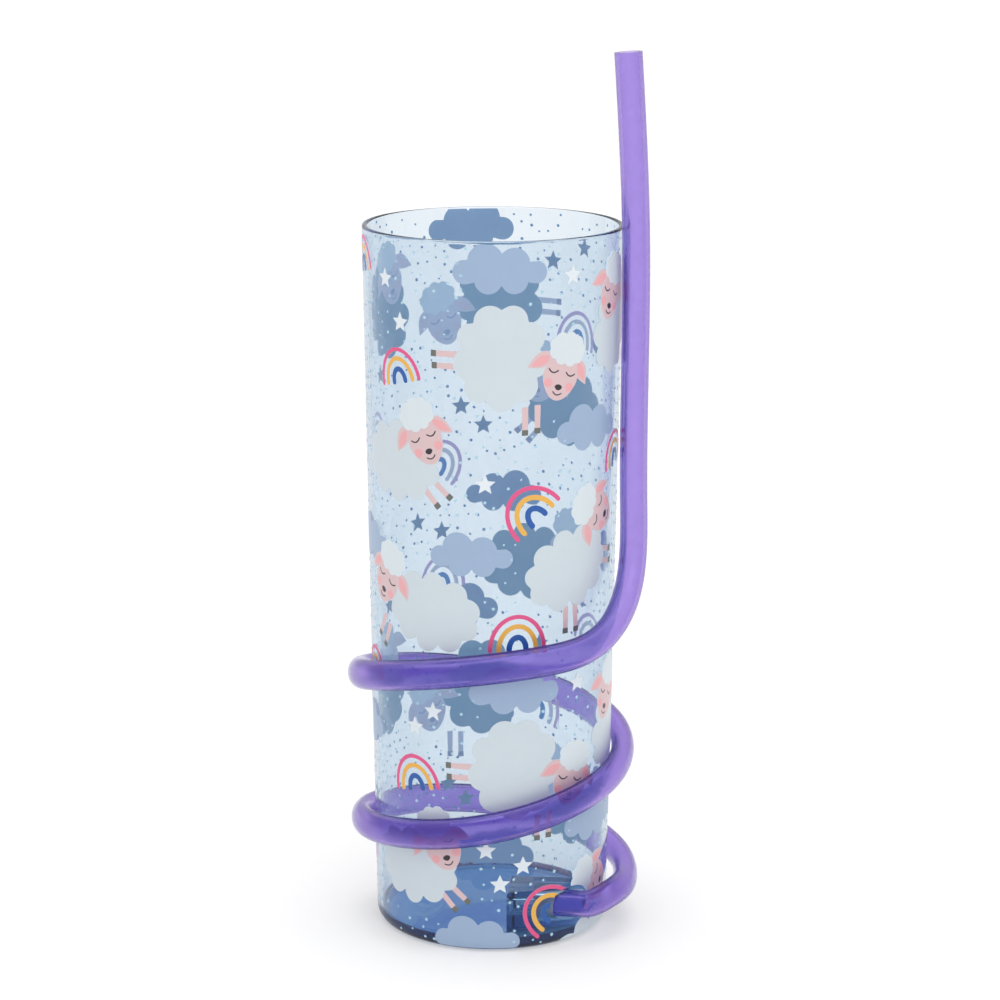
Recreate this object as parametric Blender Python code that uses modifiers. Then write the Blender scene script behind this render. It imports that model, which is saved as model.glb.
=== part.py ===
"""Open tumbler with a straw wound round its wall.

The straw leaves the cup through a bonded port just above the floor, climbs the wall in a
little over two turns, and then stands up beside the rim. Lengths are in metres, +Z is up,
and the origin is the centre of the underside. Angles are in degrees round Z from +X.
"""

import math

import bmesh
import bpy
import numpy as np
from mathutils import Matrix, Vector

# Tumbler
CUP_HEIGHT = 0.1827
RIM_RADIUS = 0.0325
BASE_RADIUS = 0.02955
WALL = 0.0012
FLOOR = 0.0030
FOOT_ROUNDING = 0.0030
INNER_ROUNDING = 0.0020

# Printed film round the wall
FILM_THICKNESS = 0.0002
FILM_GAP = 0.0003
FILM_BELOW_RIM = 0.0012
FILM_FOOT_ANGLE = 45.0
FILM_PORT_MARGIN = 0.0005

# Straw tube
STRAW_RADIUS = 0.0035
STRAW_WALL = 0.0010
WOUND_STRETCH = 0.00045
STRAW_CLEARANCE = 0.0003
STRAW_ABOVE_RIM = 0.0435
TIP_LEAN = 0.0024

# Port low in the wall, with its boss inside the cup
PORT_ANGLE = -46.5
PORT_HEIGHT = 0.0104
PORT_HEADING = -4.0
PORT_DEPTH = 0.0100
PORT_END_GAP = 0.0003
SEAL_THICKNESS = 0.0004
SEAL_LENGTH = 0.0052
SEAL_GAP = 0.0002
PASSAGE_RADIUS = 0.0025
BOSS_LENGTH = 0.0165
BOSS_WALL = 0.0012
BOSS_ROUNDING = 0.0010

# Route of the wound straw: angle, height, and how far it stands off its closest place
WINDING = (
    (-35.0, 0.0116, 0.0019),
    (-18.0, 0.0116, 0.0020),
    (0.0, 0.0124, 0.0016),
    (25.0, 0.0142, 0.0005),
    (60.0, 0.0173, 0.0),
    (110.0, 0.0210, 0.0),
    (180.0, 0.0266, 0.0),
    (235.0, 0.0311, 0.0),
    (270.0, 0.0347, 0.0),
    (305.0, 0.0393, 0.0),
    (360.0, 0.0460, 0.0),
    (450.0, 0.0554, 0.0),
    (540.0, 0.0657, 0.0),
    (585.0, 0.0718, 0.0),
    (630.0, 0.0766, 0.0003),
    (660.0, 0.0789, 0.0017),
    (680.0, 0.0830, 0.0029),
    (695.0, 0.0912, 0.0028),
)
RISER_ANGLE = 704.3
RISER_START = 0.1140
RISER_START_STANDOFF = 0.0014
WINDING_STEP = 22.5
ROUND_RUN = 0.030

# Facets
ROUND_STEPS = 64
ARC_STEPS = 4
TUBE_SIDES = 10
TUBE_SPACING = 0.0052
TUBE_SPACING_AT_PORT = 0.0026
PORT_STRETCH = 0.045
PORT_SIDES = 32
PAST = 0.004

OBJECT_NAME = "straw_tumbler"

COLOURS = {
    "tumbler": ((0.55, 0.70, 0.82, 0.5), 0.06),
    "print_film": ((0.62, 0.74, 0.84, 0.6), 0.25),
    "straw": ((0.32, 0.22, 0.66, 0.9), 0.15),
    "port_seal": ((0.80, 0.86, 0.92, 0.6), 0.30),
}


def clear_scene():
    for obj in list(bpy.data.objects):
        bpy.data.objects.remove(obj, do_unlink=True)


def new_collection(name):
    collection = bpy.data.collections.new(name)
    bpy.context.scene.collection.children.link(collection)
    return collection


def new_material(name):
    colour, roughness = COLOURS[name]
    material = bpy.data.materials.new(name)
    material.use_nodes = True
    shader = material.node_tree.nodes["Principled BSDF"]
    shader.inputs["Base Color"].default_value = colour
    shader.inputs["Roughness"].default_value = roughness
    shader.inputs["Metallic"].default_value = 0.0
    shader.inputs["Alpha"].default_value = colour[3]
    return material


def add_object(name, mesh, collection):
    obj = bpy.data.objects.new(name, mesh)
    collection.objects.link(obj)
    return obj


def add_part(name, mesh, collection):
    obj = add_object(name, mesh, collection)
    obj.data.materials.append(new_material(name))
    return obj


def add_cutter(name, mesh, collection):
    obj = add_object(name, mesh, collection)
    obj.hide_render = True
    obj.display_type = "WIRE"
    return obj


def profile_mesh(name, points, closed=False):
    """An open or closed line of edges in the XZ plane."""
    mesh = bpy.data.meshes.new(name)
    edges = [(i, i + 1) for i in range(len(points) - 1)]
    if closed:
        edges.append((len(points) - 1, 0))
    mesh.from_pydata([(x, 0.0, z) for x, z in points], edges, [])
    return mesh


def turn(obj, steps):
    """Turns a profile round its own Z axis into a closed body."""
    screw = obj.modifiers.new("Turned", "SCREW")
    screw.axis = "Z"
    screw.angle = math.tau
    screw.steps = steps
    screw.render_steps = steps
    screw.use_merge_vertices = True
    screw.merge_threshold = 0.00001
    screw.use_smooth_shade = True


def cut(obj, tool, operation="DIFFERENCE"):
    boolean = obj.modifiers.new(tool.name, "BOOLEAN")
    boolean.operation = operation
    boolean.solver = "EXACT"
    boolean.object = tool


def arc(centre, radius, start, end, steps):
    """Points on a circle in the XZ plane, from one angle to another."""
    angles = np.radians(np.linspace(start, end, steps + 1))
    return [(centre[0] + radius * math.cos(a), centre[1] + radius * math.sin(a)) for a in angles]


def wall_radius(height, offset=0.0):
    """Outer radius of the tapered wall at a height, moved out by an offset."""
    return BASE_RADIUS + (RIM_RADIUS - BASE_RADIUS) * height / CUP_HEIGHT + offset


def film_radius(height):
    return wall_radius(height, FILM_GAP + FILM_THICKNESS)


def foot_centre():
    """Centre of the rounding between the wall and the underside."""
    return wall_radius(FOOT_ROUNDING) - FOOT_ROUNDING, FOOT_ROUNDING


def cup_profile():
    """From the middle of the floor, up the inside, over the rim and down the outside."""
    inner = wall_radius(FLOOR, -WALL)
    corner = (inner - INNER_ROUNDING, FLOOR + INNER_ROUNDING)
    lip = WALL / 2.0
    lip_height = CUP_HEIGHT - lip
    points = [(0.0, FLOOR)]
    points += arc(corner, INNER_ROUNDING, -90.0, 0.0, ARC_STEPS)
    points += arc((wall_radius(lip_height, -lip), lip_height), lip, 180.0, 0.0, ARC_STEPS)
    points += arc(foot_centre(), FOOT_ROUNDING, 0.0, -90.0, ARC_STEPS)
    points.append((0.0, 0.0))
    return points


def plug_profile():
    """A solid that fills the cup to the middle of its wall and floor."""
    half = WALL / 2.0
    top = CUP_HEIGHT / 2.0
    return [
        (0.0, top),
        (wall_radius(top, -half), top),
        (wall_radius(FLOOR / 2.0, -half), FLOOR / 2.0),
        (0.0, FLOOR / 2.0),
    ]


def film_profile():
    """Closed section of the film: down its outer face, round the foot, and back up inside."""
    top = CUP_HEIGHT - FILM_BELOW_RIM
    outer = FILM_GAP + FILM_THICKNESS
    foot = foot_centre()
    points = [(wall_radius(top, outer), top)]
    points += arc(foot, FOOT_ROUNDING + outer, 0.0, -FILM_FOOT_ANGLE, ARC_STEPS)
    points += arc(foot, FOOT_ROUNDING + FILM_GAP, -FILM_FOOT_ANGLE, 0.0, ARC_STEPS)
    points.append((wall_radius(top, FILM_GAP), top))
    return points


def ring_profile(inner, outer, low, high):
    return [(outer, high), (outer, low), (inner, low), (inner, high)]


def port_frame():
    """Matrix whose Z runs out along the port's bore, with its origin where the bore meets the film."""
    angle = math.radians(PORT_ANGLE)
    heading = math.radians(PORT_HEADING)
    reach = film_radius(PORT_HEIGHT)
    place = Vector((reach * math.cos(angle), reach * math.sin(angle), PORT_HEIGHT))
    outward = Vector((math.cos(heading), math.sin(heading), 0.0))
    inward_side = Vector((-math.sin(heading), math.cos(heading), 0.0))
    up = Vector((0.0, 0.0, 1.0))
    turned = Matrix((inward_side, up, outward)).transposed().to_4x4()
    return Matrix.Translation(place) @ turned


def socket_radius():
    return STRAW_RADIUS + SEAL_GAP + SEAL_THICKNESS + SEAL_GAP


def cylinder_along_port(name, radius, start, end, collection):
    """A cutter along the bore, from one distance to another, measured outwards."""
    bm = bmesh.new()
    bmesh.ops.create_cone(
        bm, cap_ends=True, segments=PORT_SIDES, radius1=radius, radius2=radius, depth=end - start
    )
    middle = Matrix.Translation((0.0, 0.0, (start + end) / 2.0))
    bmesh.ops.transform(bm, matrix=port_frame() @ middle, verts=bm.verts)
    mesh = bpy.data.meshes.new(name)
    bm.to_mesh(mesh)
    bm.free()
    return add_cutter(name, mesh, collection)


def boss_block(collection):
    """Block round the bore, which the plug trims to the middle of the wall and floor."""
    side = socket_radius() + BOSS_WALL
    reach = RIM_RADIUS + PAST
    low = -PORT_HEIGHT
    high = side
    size = (side + reach, high - low, BOSS_LENGTH + reach)
    middle = ((side - reach) / 2.0, (high + low) / 2.0, (reach - BOSS_LENGTH) / 2.0)
    bm = bmesh.new()
    bmesh.ops.create_cube(bm, size=1.0)
    bmesh.ops.scale(bm, vec=size, verts=bm.verts)
    bmesh.ops.translate(bm, vec=middle, verts=bm.verts)
    bmesh.ops.transform(bm, matrix=port_frame(), verts=bm.verts)
    mesh = bpy.data.meshes.new("boss_block")
    bm.to_mesh(mesh)
    bm.free()
    block = add_cutter("boss_block", mesh, collection)
    bevel = block.modifiers.new("Rounded", "BEVEL")
    bevel.width = BOSS_ROUNDING
    bevel.segments = 2
    plug = add_cutter("boss_plug", profile_mesh("boss_plug", plug_profile()), collection)
    turn(plug, ROUND_STEPS)
    cut(block, plug, "INTERSECT")
    return block


def smooth_through(knots, values, at):
    """Natural cubic spline through values at knots, read at other places."""
    knots = np.asarray(knots, dtype=float)
    values = np.asarray(values, dtype=float).reshape(len(knots), -1)
    gaps = np.diff(knots)
    slopes = np.diff(values, axis=0) / gaps[:, None]
    count = len(knots)
    matrix = np.eye(count)
    right = np.zeros_like(values)
    for i in range(1, count - 1):
        matrix[i, i - 1 : i + 2] = gaps[i - 1], 2.0 * (gaps[i - 1] + gaps[i]), gaps[i]
        right[i] = 6.0 * (slopes[i] - slopes[i - 1])
    bends = np.linalg.solve(matrix, right)
    at = np.asarray(at, dtype=float)
    span = np.clip(np.searchsorted(knots, at, side="right") - 1, 0, count - 2)
    width = gaps[span][:, None]
    after = (at - knots[span])[:, None]
    before = (knots[span + 1] - at)[:, None]
    curve = (bends[span] * before**3 + bends[span + 1] * after**3) / (6.0 * width)
    curve += (values[span] / width - bends[span] * width / 6.0) * before
    curve += (values[span + 1] / width - bends[span + 1] * width / 6.0) * after
    return curve


def around(angle, radius, height):
    return np.array(
        [radius * math.cos(math.radians(angle)), radius * math.sin(math.radians(angle)), height]
    )


def wound_half_height():
    """Half height of the flattened section, which is taller than the round tube."""
    return STRAW_RADIUS + WOUND_STRETCH


def wound_half_depth():
    """Half depth of the flattened section, which keeps the round tube's own perimeter."""
    return math.sqrt(2.0 * STRAW_RADIUS**2 - wound_half_height() ** 2)


def port_points():
    """The straight run inside the port and just outside it."""
    frame = port_frame()
    return [np.array(frame @ Vector((0.0, 0.0, t))) for t in (-PORT_DEPTH, -PORT_DEPTH / 2.0, 0.0, PAST)]


def winding_points():
    angles, heights, standoffs = zip(*WINDING)
    steps = math.ceil((angles[-1] - angles[0]) / WINDING_STEP)
    at = np.linspace(angles[0], angles[-1], steps + 1)
    rows = smooth_through(angles, np.column_stack([heights, standoffs]), at)
    closest = STRAW_CLEARANCE + wound_half_depth()
    return [
        around(angle, film_radius(height) + closest + max(standoff, 0.0), height)
        for angle, (height, standoff) in zip(at, rows)
    ]


def riser_points():
    """Upright run beside the wall, past the rim, with its tip leaning in over the cup."""
    closest = STRAW_CLEARANCE + STRAW_RADIUS
    low = around(RISER_ANGLE, film_radius(RISER_START) + closest + RISER_START_STANDOFF, RISER_START)
    rim = around(RISER_ANGLE, film_radius(CUP_HEIGHT) + closest, CUP_HEIGHT)
    tip = rim + np.array([-TIP_LEAN, 0.0, STRAW_ABOVE_RIM])
    return [low, rim, tip]


def even_steps(start, end, spacing):
    return np.linspace(start, end, math.ceil((end - start) / spacing) + 1)


def straw_route():
    """Centreline points, closer together in the tight bend at the port, and their distances."""
    points = np.array(port_points() + winding_points() + riser_points())
    chords = np.linalg.norm(np.diff(points, axis=0), axis=1)
    knots = np.concatenate([[0.0], np.cumsum(chords)])
    at = even_steps(0.0, PORT_STRETCH, TUBE_SPACING_AT_PORT)[:-1]
    at = np.concatenate([at, even_steps(PORT_STRETCH, knots[-1], TUBE_SPACING)])
    wound_from = knots[len(port_points())]
    wound_to = knots[-len(riser_points()) - 1]
    return smooth_through(knots, points, at), at, wound_from, wound_to


def ease(value):
    value = min(max(value, 0.0), 1.0)
    return value * value * (3.0 - 2.0 * value)


def straw_sections():
    """Each section's centre, its two half axes and the two directions that they lie along."""
    centres, at, wound_from, wound_to = straw_route()
    tangents = np.gradient(centres, at, axis=0)
    tangents /= np.linalg.norm(tangents, axis=1)[:, None]
    sections = []
    for centre, tangent, distance in zip(centres, tangents, at):
        flatness = ease((distance - wound_from) / ROUND_RUN) * ease((wound_to - distance) / ROUND_RUN)
        across = STRAW_RADIUS + (wound_half_depth() - STRAW_RADIUS) * flatness
        along = STRAW_RADIUS + WOUND_STRETCH * flatness
        radial = Vector((centre[0], centre[1], 0.0)).normalized()
        heading = Vector(tangent)
        radial = (radial - heading * radial.dot(heading)).normalized()
        sections.append((Vector(centre), across, along, radial, heading.cross(radial)))
    return sections


def straw_mesh():
    """Skin of the tube, open at both ends, lofted because its section goes from round to oval."""
    bm = bmesh.new()
    rings = []
    for centre, across, along, radial, upright in straw_sections():
        ring = []
        for side in range(TUBE_SIDES):
            angle = math.tau * side / TUBE_SIDES
            place = centre + radial * (across * math.cos(angle)) + upright * (along * math.sin(angle))
            ring.append(bm.verts.new(place))
        rings.append(ring)
    for low, high in zip(rings, rings[1:]):
        for side in range(TUBE_SIDES):
            after = (side + 1) % TUBE_SIDES
            bm.faces.new((low[side], low[after], high[after], high[side]))
    mesh = bpy.data.meshes.new("straw")
    bm.to_mesh(mesh)
    bm.free()
    mesh.shade_smooth()
    return mesh


def build_tumbler(parts, cutters):
    tumbler = add_part("tumbler", profile_mesh("tumbler", cup_profile()), parts)
    turn(tumbler, ROUND_STEPS)
    cut(tumbler, boss_block(cutters), "UNION")
    socket_end = -PORT_DEPTH - PORT_END_GAP
    outside = 2.0 * socket_radius() + PAST
    socket = cylinder_along_port("socket_bore", socket_radius(), socket_end, outside, cutters)
    passage = cylinder_along_port(
        "passage_bore", PASSAGE_RADIUS, -BOSS_LENGTH - PAST, socket_end + PAST, cutters
    )
    cut(tumbler, socket)
    cut(tumbler, passage)
    return tumbler


def build_film(parts, cutters):
    film = add_part("print_film", profile_mesh("print_film", film_profile(), closed=True), parts)
    turn(film, ROUND_STEPS)
    margin = socket_radius() + FILM_PORT_MARGIN
    reach = 2.0 * margin + PAST
    cut(film, cylinder_along_port("film_port", margin, -reach, reach, cutters))
    return film


def build_straw(parts):
    straw = add_part("straw", straw_mesh(), parts)
    wall = straw.modifiers.new("Tube wall", "SOLIDIFY")
    wall.thickness = STRAW_WALL
    wall.offset = -1.0
    wall.use_even_offset = True
    return straw


def build_seal(parts):
    """Sleeve that bonds the straw into the socket."""
    inner = STRAW_RADIUS + SEAL_GAP
    profile = ring_profile(inner, inner + SEAL_THICKNESS, -PORT_DEPTH, SEAL_LENGTH - PORT_DEPTH)
    seal = add_part("port_seal", profile_mesh("port_seal", profile, closed=True), parts)
    seal.matrix_world = port_frame()
    turn(seal, PORT_SIDES)
    return seal


def main():
    clear_scene()
    parts = new_collection(OBJECT_NAME)
    cutters = new_collection(OBJECT_NAME + "_cutters")
    build_tumbler(parts, cutters)
    build_film(parts, cutters)
    build_straw(parts)
    build_seal(parts)


main()
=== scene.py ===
"""Clear tumbler in a printed film, with a soft tube straw wound round its wall.

Everything is in metres in the part's own frame: +Z up, origin at the centre of the underside.
Angles on the wall are in degrees round Z from +X, so the front of the cup is at -90.
"""

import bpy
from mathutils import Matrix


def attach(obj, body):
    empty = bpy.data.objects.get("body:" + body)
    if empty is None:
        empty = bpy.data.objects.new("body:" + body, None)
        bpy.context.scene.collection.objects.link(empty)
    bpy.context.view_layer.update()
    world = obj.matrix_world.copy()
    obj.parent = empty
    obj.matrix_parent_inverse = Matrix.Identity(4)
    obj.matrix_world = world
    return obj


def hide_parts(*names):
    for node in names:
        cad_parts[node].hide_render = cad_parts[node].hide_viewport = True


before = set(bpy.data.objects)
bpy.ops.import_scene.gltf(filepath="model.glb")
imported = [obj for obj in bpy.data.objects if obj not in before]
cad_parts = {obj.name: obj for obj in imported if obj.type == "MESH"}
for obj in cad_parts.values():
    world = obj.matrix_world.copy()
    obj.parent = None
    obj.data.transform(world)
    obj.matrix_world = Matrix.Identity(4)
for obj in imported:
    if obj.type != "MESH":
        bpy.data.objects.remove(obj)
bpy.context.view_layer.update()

import logging
import math
import random
from contextlib import contextmanager
from dataclasses import dataclass, replace
from enum import Enum
from typing import Callable, Iterator, Mapping, Optional, Sequence, Union

import bmesh
import bpy
import numpy as np
from mathutils import Matrix, Vector

MM = 0.001
BODY = "root"
NEAR = 0.01 * MM
WHITE = (1.0, 1.0, 1.0, 1.0)

Point = tuple[float, float]
Triple = tuple[float, float, float]
Colour = Triple

log = logging.getLogger("tumbler")


# Shader building


class Signal:
    """A number socket that adds Math nodes when it is used in an expression."""

    def __init__(self, shader: "Shader", socket: bpy.types.NodeSocket) -> None:
        """Wraps a socket.

        Args:
            shader: the shader that the socket belongs to.
            socket: the output socket to work on.
        """
        self.shader = shader
        self.socket = socket

    def _math(self, operation: str, first: "Number", second: "Number") -> "Signal":
        """Adds one Math node.

        Args:
            operation: the node's operation.
            first: left-hand value.
            second: right-hand value.

        Returns:
            The result as a new signal.
        """
        node = self.shader.node(
            "ShaderNodeMath", {"operation": operation}, {0: first, 1: second}
        )
        return Signal(self.shader, node.outputs[0])

    def __add__(self, other: "Number") -> "Signal":
        """self + other."""
        return self._math("ADD", self, other)

    def __radd__(self, other: "Number") -> "Signal":
        """other + self."""
        return self._math("ADD", other, self)

    def __mul__(self, other: "Number") -> "Signal":
        """self * other."""
        return self._math("MULTIPLY", self, other)

    def __rmul__(self, other: "Number") -> "Signal":
        """other * self."""
        return self._math("MULTIPLY", other, self)


Number = Union[Signal, float]


class Shader:
    """One material's node tree, built node by node."""

    def __init__(self, name: str) -> None:
        """Starts a material.

        Args:
            name: the material's name.
        """
        self.material = bpy.data.materials.new(name)
        self.material.use_nodes = True
        self.tree = self.material.node_tree
        self.surface = self.tree.nodes["Principled BSDF"]
        self.output = self.tree.nodes["Material Output"]

    def feed(self, socket: bpy.types.NodeSocket, value: object) -> None:
        """Links a signal or socket to a socket, or sets its value.

        Args:
            socket: the input socket.
            value: a signal, an output socket, or a plain value.
        """
        if isinstance(value, Signal):
            value = value.socket
        if isinstance(value, bpy.types.NodeSocket):
            self.tree.links.new(value, socket)
        else:
            socket.default_value = value

    def node(
        self,
        kind: str,
        settings: Optional[Mapping[str, object]] = None,
        sockets: Optional[Mapping[Union[int, str], object]] = None,
    ) -> bpy.types.Node:
        """Adds a node of any type.

        Args:
            kind: the node's type.
            settings: properties, which are set first.
            sockets: values or links of its input sockets.

        Returns:
            The new node.
        """
        node = self.tree.nodes.new(kind)
        for key, value in (settings or {}).items():
            setattr(node, key, value)
        for key, value in (sockets or {}).items():
            self.feed(node.inputs[key], value)
        return node

    def place(self) -> bpy.types.NodeSocket:
        """Object coordinates."""
        return self.node("ShaderNodeTexCoord").outputs["Object"]

    def noise(
        self, scale: float, detail: float = 2.0, stretch: Triple = (1.0, 1.0, 1.0)
    ) -> Signal:
        """Soft noise over the piece.

        Args:
            scale: cells in a metre.
            detail: octaves of finer noise.
            stretch: scale along each axis.

        Returns:
            A signal from 0 to 1.
        """
        mapped = self.node("ShaderNodeMapping", sockets={"Vector": self.place(), "Scale": stretch})
        node = self.node(
            "ShaderNodeTexNoise",
            sockets={"Vector": mapped.outputs[0], "Scale": scale, "Detail": detail},
        )
        return Signal(self, node.outputs[0])

    def ramp(self, value: bpy.types.NodeSocket, start: float, end: float) -> Signal:
        """A smooth step of a value.

        Args:
            value: the value's socket.
            start: the value that gives 0.
            end: the value that gives 1.

        Returns:
            A signal from 0 to 1.
        """
        node = self.node(
            "ShaderNodeMapRange",
            {"interpolation_type": "SMOOTHSTEP"},
            {"Value": value, "From Min": start, "From Max": end},
        )
        return Signal(self, node.outputs[0])

    def below(self, level: float, fade: float) -> Signal:
        """0 above a height and 1 below it, over a fade upwards of it."""
        parts = self.node("ShaderNodeSeparateXYZ", sockets={0: self.place()})
        return self.ramp(parts.outputs["Z"], level + fade, level)

    def beyond(self, radius: float, fade: float) -> Signal:
        """How far a place is outside a radius round the axis.

        Args:
            radius: the radius, inside which it is 0.
            fade: way outwards over which it comes to 1.

        Returns:
            A signal from 0 to 1.
        """
        flat = self.node(
            "ShaderNodeVectorMath", {"operation": "MULTIPLY"}, {0: self.place(), 1: (1, 1, 0)}
        )
        reach = self.node("ShaderNodeVectorMath", {"operation": "LENGTH"}, {0: flat.outputs[0]})
        return self.ramp(reach.outputs["Value"], radius, radius + fade)

    def blend(
        self,
        factor: Number,
        first: Union[Colour, bpy.types.NodeSocket],
        second: Union[Colour, bpy.types.NodeSocket],
    ) -> bpy.types.NodeSocket:
        """Mixes two colours.

        Args:
            factor: 0 gives the first colour and 1 the second.
            first: linear colour or socket.
            second: linear colour or socket.

        Returns:
            The mixed colour's socket.
        """
        node = self.node("ShaderNodeMix", {"data_type": "RGBA"})
        self.feed(node.inputs[0], factor)
        for socket, colour in ((node.inputs[6], first), (node.inputs[7], second)):
            self.feed(socket, (*colour, 1.0) if isinstance(colour, tuple) else colour)
        return node.outputs[2]

    def relief(self, height: Signal, distance: float) -> None:
        """Feeds a height through a Bump node into the surface's normal.

        Args:
            height: signal of the relief.
            distance: height in metres of a signal of 1.
        """
        bump = self.node(
            "ShaderNodeBump", sockets={"Height": height, "Distance": distance, "Strength": 1.0}
        )
        self.feed(self.surface.inputs["Normal"], bump.outputs[0])

    def set(self, **values: object) -> None:
        """Sets or links the surface's sockets, named with underscores for spaces."""
        for key, value in values.items():
            self.feed(self.surface.inputs[key.replace("_", " ")], value)

    def absorb(self, passed: Colour, thickness: float) -> None:
        """Fills the solid with a tint that deepens with the way through it.

        Args:
            passed: share of each colour that gets through.
            thickness: the way in metres that lets that share through.
        """
        rates = [-math.log(share) / thickness for share in passed]
        density = max(rates)
        colour = [1.0 - rate / density for rate in rates]
        volume = self.node(
            "ShaderNodeVolumeAbsorption", sockets={"Color": (*colour, 1.0), "Density": density}
        )
        self.feed(self.output.inputs["Volume"], volume.outputs[0])


def linear(red: int, green: int, blue: int) -> Colour:
    """A display colour, each part from 0 to 255, as linear light."""
    shares = [value / 255.0 for value in (red, green, blue)]
    return tuple(s / 12.92 if s <= 0.04045 else ((s + 0.055) / 1.055) ** 2.4 for s in shares)


def scaled(colour: Colour, factor: float) -> Colour:
    """A colour made lighter or darker."""
    return tuple(min(value * factor, 1.0) for value in colour)


# Finishes


@dataclass(frozen=True)
class ClearPlastic:
    """Polished, lightly tinted hard plastic."""

    passed: Colour = (0.805, 0.862, 0.908)
    thickness: float = 1.3 * MM
    tint: Colour = (0.985, 0.992, 1.0)
    # Painted shade: a deep blue colour for the floor, standing in for the shadowed floor and the
    # long light path seen through it.
    painted_floor_shade: Colour = (0.20, 0.42, 0.79)
    # Painted shade: a near-black violet for the outer foot, for the dark band along the thick
    # rounded foot.
    painted_foot_shade: Colour = (0.06, 0.04, 0.10)
    floor_top: float = 3.0 * MM
    foot_top: float = 3.8 * MM
    foot_inside: float = 28.9 * MM
    fade: float = 0.4 * MM
    ior: float = 1.49
    # Painted shade in the reflections: this tint dims the reflections and turns them blue,
    # darkening the rim and the foot band.
    mirror: tuple[float, float, float, float] = (0.40, 0.42, 0.62, 1.0)
    roughness: float = 0.012
    haze: float = 0.02

    def make(self) -> bpy.types.Material:
        """Makes it, with faint waves, a haze of marks, a painted blue shade in the floor and a
        painted dark shade in the foot.

        Returns:
            The material.
        """
        shader = Shader("clear_plastic")
        waves = shader.noise(70.0, 1.0, (1.0, 1.0, 0.35))
        # Painted shade: the colour turns deep blue below floor_top, all through the floor.
        floor_shade_mask = shader.below(self.floor_top, self.fade)
        floor = shader.blend(floor_shade_mask, self.tint, self.painted_floor_shade)
        # Painted shade: the outer foot corner, below foot_top and outside foot_inside, is darkened
        # to near black.
        foot = shader.below(self.foot_top, self.fade) * shader.beyond(self.foot_inside, self.fade)
        haze = shader.noise(900.0, 3.0)
        shader.set(
            Base_Color=shader.blend(foot, floor, self.painted_foot_shade),
            Transmission_Weight=1.0,
            IOR=self.ior,
            Specular_Tint=self.mirror,
            Roughness=self.roughness + haze * self.haze,
        )
        shader.relief(waves, 0.02 * MM)
        shader.absorb(self.passed, self.thickness)
        return shader.material


@dataclass(frozen=True)
class FilmPlastic:
    """Thin clear film, which only shows by a faint veil and its edges."""

    pale: Colour = linear(212, 224, 236)
    deep: Colour = linear(190, 208, 224)
    alpha: float = 0.01
    roughness: float = 0.18

    def make(self) -> bpy.types.Material:
        """Makes it, with a faint grain in its gloss.

        Returns:
            The material.
        """
        shader = Shader("clear_film")
        grain = shader.noise(500.0, 2.0)
        shader.set(
            Base_Color=shader.blend(grain, self.deep, self.pale),
            Roughness=self.roughness + grain * 0.1,
            Alpha=self.alpha,
        )
        return shader.material


@dataclass(frozen=True)
class InkFinish:
    """Print ink, seen from one side.

    glow is painted light: an emission in the ink's colour that stands in for the daylight coming
    through the ink to this side, as a share of its colour.
    """

    name: str
    colour: Colour
    glow: float = 0.0
    roughness: float = 0.30
    mottle: float = 0.035

    def make(self) -> bpy.types.Material:
        """Makes it, with the fine grain and slight mottle of a printed solid.

        Returns:
            The material.
        """
        shader = Shader(self.name)
        mottle = shader.noise(260.0, 3.0)
        grain = shader.noise(2600.0, 2.0)
        shader.set(
            Base_Color=shader.blend(
                mottle * 0.7 + grain * 0.3,
                scaled(self.colour, 1.0 - self.mottle),
                scaled(self.colour, 1.0 + self.mottle),
            ),
            Roughness=self.roughness + grain * 0.12,
            # Painted glow: the emission sockets make the ink shine in its own colour.
            Emission_Color=(*self.colour, 1.0),
            Emission_Strength=self.glow,
        )
        shader.relief(grain, 0.004 * MM)
        return shader.material


@dataclass(frozen=True)
class StrawPlastic:
    """Soft translucent tube plastic, glossy and slightly milky."""

    passed: Colour = (0.77, 0.695, 0.875)
    thickness: float = 1.0 * MM
    milk: Colour = (0.80, 0.74, 0.93)
    # Painted glow: a faint violet emission that stands in for light scattered inside the tube.
    glow: Colour = (0.002, 0.001, 0.030)
    clear_share: float = 0.98
    mirror: tuple[float, float, float, float] = (0.60, 0.52, 0.90, 1.0)
    ior: float = 1.42
    roughness: float = 0.11

    def make(self) -> bpy.types.Material:
        """Makes it, with faint drawing marks and haze from the extruder, and a painted violet
        glow.

        Returns:
            The material.
        """
        shader = Shader("straw_plastic")
        haze = shader.noise(420.0, 3.0)
        shader.set(
            Base_Color=shader.blend(haze, scaled(self.milk, 0.93), scaled(self.milk, 1.06)),
            Transmission_Weight=self.clear_share,
            IOR=self.ior,
            Specular_Tint=self.mirror,
            Roughness=self.roughness + haze * 0.07,
            Emission_Color=(*self.glow, 1.0),
            Emission_Strength=1.0,
        )
        shader.relief(haze, 0.02 * MM)
        shader.absorb(self.passed, self.thickness)
        return shader.material


@dataclass(frozen=True)
class Sealant:
    """Cured clear sealant."""

    pale: Colour = linear(214, 226, 240)
    deep: Colour = linear(188, 206, 226)
    clear_share: float = 0.6
    ior: float = 1.41
    roughness: float = 0.22

    def make(self) -> bpy.types.Material:
        """Makes it, milky with a lumpy cured surface.

        Returns:
            The material.
        """
        shader = Shader("clear_sealant")
        lumps = shader.noise(700.0, 2.0)
        shader.set(
            Base_Color=shader.blend(lumps, self.deep, self.pale),
            Transmission_Weight=self.clear_share,
            IOR=self.ior,
            Roughness=self.roughness + lumps * 0.15,
        )
        shader.relief(lumps, 0.05 * MM)
        return shader.material


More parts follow.
